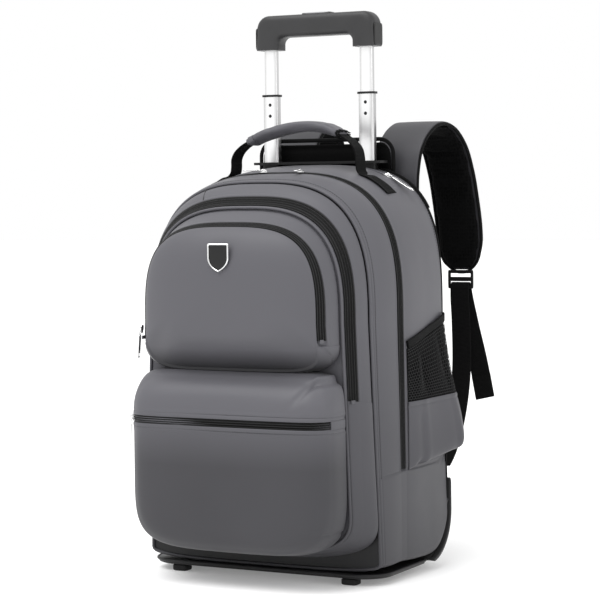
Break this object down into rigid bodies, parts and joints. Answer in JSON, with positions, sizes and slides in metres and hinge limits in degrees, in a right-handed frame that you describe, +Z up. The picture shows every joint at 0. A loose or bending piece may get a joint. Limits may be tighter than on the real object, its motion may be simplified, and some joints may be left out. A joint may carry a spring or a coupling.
{
  "type": "wheeled backpack",
  "caption": "Grey wheeled backpack with an arched, zipped body, a front pocket, side pockets, padded straps and a telescoping trolley handle.",
  "frame": {"origin": "middle of the footprint, on the floor", "axes": "+X to the bag's right seen from its front, +Y to its back, +Z up; the bag is symmetric about X = 0 apart from its zip pullers"},
  "size_m": [0.3768, 0.41, 0.6635],
  "materials": {
    "grey_fabric": "coated, matt with a faint sheen",
    "dark_fabric": "coated, matt",
    "black_fabric": "woven, matt",
    "zip_tape": "woven, with dark coil teeth",
    "dark_plastic": "satin",
    "grey_plastic": "satin",
    "tube_aluminium": "satin anodised",
    "bright_metal": "polished",
    "black_rubber": "matt"
  },
  "bodies": {
    "bag": {"main_gusset": "grey_fabric", "middle_gusset": "grey_fabric", "front_shell": "grey_fabric", "middle_front_panel": "grey_fabric", "piping_middle": "grey_fabric", "piping_front": "grey_fabric", "front_pocket": "dark_fabric", "main_front_panel": "dark_fabric", "base_tray": "dark_fabric", "back_board": "black_fabric", "back_padding": "black_fabric", "yoke_pad": "black_fabric", "zip_main": "zip_tape", "zip_rear": "zip_tape", "zip_middle": "zip_tape", "zip_front": "zip_tape", "zip_pocket": "zip_tape", "trolley_housing": "dark_plastic", "carry_webbing": "black_fabric", "carry_grip": "grey_fabric", "emblem_rim": "bright_metal", "emblem_field": "black_fabric", "puller_main_a": "bright_metal", "puller_main_b": "bright_metal", "puller_rear": "bright_metal", "puller_front": "bright_metal", "puller_pocket": "bright_metal", "foot_right": "black_rubber", "foot_left": "black_rubber", "wheel_housing_right": "dark_plastic", "wheel_housing_left": "dark_plastic", "skid_guard_right": "grey_plastic", "skid_guard_left": "grey_plastic", "strap_face_right": "grey_fabric", "strap_face_left": "grey_fabric", "strap_lining_right": "black_fabric", "strap_lining_left": "black_fabric", "strap_buckle_right": "dark_plastic", "strap_buckle_left": "dark_plastic", "strap_webbing_right": "black_fabric", "strap_webbing_left": "black_fabric", "side_panel_right": "grey_fabric", "side_panel_left": "grey_fabric", "side_net_right": "black_fabric", "side_net_left": "black_fabric", "side_binding_right": "black_fabric", "side_binding_left": "black_fabric"},
    "middle_stage": {"trolley_middle_right": "tube_aluminium", "trolley_middle_left": "tube_aluminium", "trolley_collar_right": "dark_plastic", "trolley_collar_left": "dark_plastic"},
    "inner_stage": {"trolley_inner_right": "tube_aluminium", "trolley_inner_left": "tube_aluminium", "pull_grip": "dark_plastic"},
    "button": {"grip_button": "grey_plastic"},
    "wheel_right": {"wheel_tyre_right": "black_rubber", "wheel_hub_right": "grey_plastic"},
    "wheel_left": {"wheel_tyre_left": "black_rubber", "wheel_hub_left": "grey_plastic"}
  },
  "joints": [
    {"name": "handle_lower", "type": "slide", "parent": "bag", "child": "middle_stage", "axis": [0, 0, 1], "range_m": [-0.076, 0.2]},
    {"name": "handle_upper", "type": "slide", "parent": "middle_stage", "child": "inner_stage", "axis": [0, 0, 1], "range_m": [-0.053, 0.19]},
    {"name": "button_press", "type": "slide", "parent": "inner_stage", "child": "button", "axis": [0, 0, -1], "range_m": [0, 0.003], "stiffness_N_per_m": 400, "springref_m": -0.002},
    {"name": "wheel_right_spin", "type": "hinge", "parent": "bag", "child": "wheel_right", "pos_m": [0.118, 0.04571, 0.03], "axis": [1, 0, 0], "continuous": true},
    {"name": "wheel_left_spin", "type": "hinge", "parent": "bag", "child": "wheel_left", "pos_m": [-0.118, 0.04571, 0.03], "axis": [1, 0, 0], "continuous": true}
  ]
}
